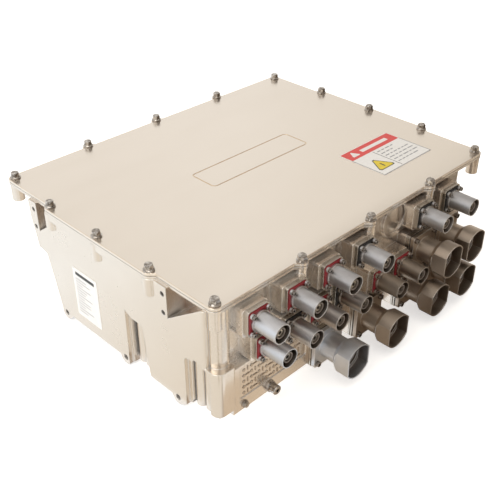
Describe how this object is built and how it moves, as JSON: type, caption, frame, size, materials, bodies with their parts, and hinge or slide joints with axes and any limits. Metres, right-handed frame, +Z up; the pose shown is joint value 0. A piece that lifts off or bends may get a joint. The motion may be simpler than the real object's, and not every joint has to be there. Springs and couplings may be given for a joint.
{
  "type": "high voltage power distribution box",
  "caption": "Sealed metal high-voltage distribution box: cast tub, flat bolted lid, rows of small shielded ports and larger cable bells on the front wall.",
  "frame": {"origin": "centre of the lid bolt rectangle in plan, at the underside of the cast floor", "axes": "+X along the connector wall from its bracket-pad end, +Y from the connector wall to the back, +Z up through the lid"},
  "size_m": [0.5358, 0.4805, 0.1807],
  "materials": {
    "nickel_cast": "cast aluminium, satin nickel plated",
    "nickel_sheet": "machined plate, satin nickel plated",
    "zinc_steel": "bright zinc plated steel",
    "steel_screw": "plain steel",
    "connector_shell": "satin anodised shell",
    "bell_shell": "satin anodised nut",
    "adapter_plate": "machined plate",
    "red_rubber": "moulded silicone",
    "black_rubber": "moulded rubber",
    "dark_plastic": "glass filled nylon",
    "tin_copper": "tinned copper",
    "copper": "bare copper bar",
    "label_white": "printed polyester film",
    "tray_plastic": "glass laminate sheet",
    "housing_plastic": "moulded thermoset",
    "coil_copper": "enamelled winding",
    "fuse_ceramic": "glazed ceramic tube",
    "board_green": "solder mask"
  },
  "bodies": {
    "enclosure": {"black_seals": "black_rubber", "board_chips": "dark_plastic", "board_posts": "zinc_steel", "board_screws": "steel_screw", "board_sockets": "tray_plastic", "case": "nickel_cast", "contactor_busbars": "copper", "contactor_coils": "coil_copper", "contactor_covers": "housing_plastic", "contactor_housings": "housing_plastic", "contactor_terminals": "copper", "control_board": "board_green", "current_sensor": "housing_plastic", "equipment_tray": "tray_plastic", "fuse_bodies": "fuse_ceramic", "fuse_bolts": "steel_screw", "fuse_caps": "tin_copper", "fuse_holders": "housing_plastic", "grounding_screw": "zinc_steel", "interlock_sensor": "housing_plastic", "large_contact_nuts": "zinc_steel", "large_contacts": "tin_copper", "large_insulators": "dark_plastic", "large_plates": "adapter_plate", "large_screws": "steel_screw", "large_seals": "black_rubber", "large_shells": "connector_shell", "lid_gasket": "black_rubber", "lower_large_busbar": "copper", "lower_small_busbar": "copper", "pair_small_busbar": "copper", "precharge_resistor": "nickel_cast", "rating_plate": "label_white", "red_seals": "red_rubber", "sensor_busbar": "copper", "small_contact_nuts": "zinc_steel", "small_contacts": "tin_copper", "small_insulators": "dark_plastic", "small_plates": "adapter_plate", "small_screws": "steel_screw", "small_shells": "connector_shell", "terminal_nuts": "zinc_steel", "tray_posts": "zinc_steel", "tray_screws": "steel_screw", "upper_large_busbar": "copper", "upper_small_busbar": "copper", "vent_fitting": "zinc_steel"},
    "cover": {"lid": "nickel_sheet", "warning_label": "label_white", "interlock_magnet": "steel_screw"},
    "cover_bolts": {"lid_bolts": "zinc_steel"},
    "nut_1": {"bell_nut_1": "bell_shell"},
    "nut_2": {"bell_nut_2": "bell_shell"},
    "nut_3": {"bell_nut_3": "bell_shell"},
    "nut_4": {"bell_nut_4": "bell_shell"},
    "nut_5": {"bell_nut_5": "bell_shell"},
    "nut_6": {"bell_nut_6": "bell_shell"},
    "armature_1": {"contactor_armature_1": "tin_copper"},
    "armature_2": {"contactor_armature_2": "tin_copper"},
    "armature_3": {"contactor_armature_3": "tin_copper"}
  },
  "joints": [
    {"name": "lid_lift", "type": "slide", "parent": "enclosure", "child": "cover", "axis": [0, 0, 1], "range_m": [0, 0.15]},
    {"name": "lid_bolts_unscrew", "type": "slide", "parent": "cover", "child": "cover_bolts", "axis": [0, 0, 1], "range_m": [0, 0.022]},
    {"name": "bell_nut_1_turn", "type": "hinge", "parent": "enclosure", "child": "nut_1", "pos_m": [-0.085, -0.25, 0.025], "axis": [0, -1, 0], "range_deg": [-180, 180]},
    {"name": "bell_nut_2_turn", "type": "hinge", "parent": "enclosure", "child": "nut_2", "pos_m": [-0.004, -0.25, 0.025], "axis": [0, -1, 0], "range_deg": [-180, 180]},
    {"name": "bell_nut_3_turn", "type": "hinge", "parent": "enclosure", "child": "nut_3", "pos_m": [0.088, -0.25, 0.025], "axis": [0, -1, 0], "range_deg": [-180, 180]},
    {"name": "bell_nut_4_turn", "type": "hinge", "parent": "enclosure", "child": "nut_4", "pos_m": [0.153, -0.25, 0.025], "axis": [0, -1, 0], "range_deg": [-180, 180]},
    {"name": "bell_nut_5_turn", "type": "hinge", "parent": "enclosure", "child": "nut_5", "pos_m": [0.107, -0.25, 0.078], "axis": [0, -1, 0], "range_deg": [-180, 180]},
    {"name": "bell_nut_6_turn", "type": "hinge", "parent": "enclosure", "child": "nut_6", "pos_m": [0.161, -0.25, 0.078], "axis": [0, -1, 0], "range_deg": [-180, 180]},
    {"name": "contactor_1_close", "type": "slide", "parent": "enclosure", "child": "armature_1", "axis": [0, 0, 1], "range_m": [0, 0.002]},
    {"name": "contactor_2_close", "type": "slide", "parent": "enclosure", "child": "armature_2", "axis": [0, 0, 1], "range_m": [0, 0.002]},
    {"name": "contactor_3_close", "type": "slide", "parent": "enclosure", "child": "armature_3", "axis": [0, 0, 1], "range_m": [0, 0.002]}
  ]
}
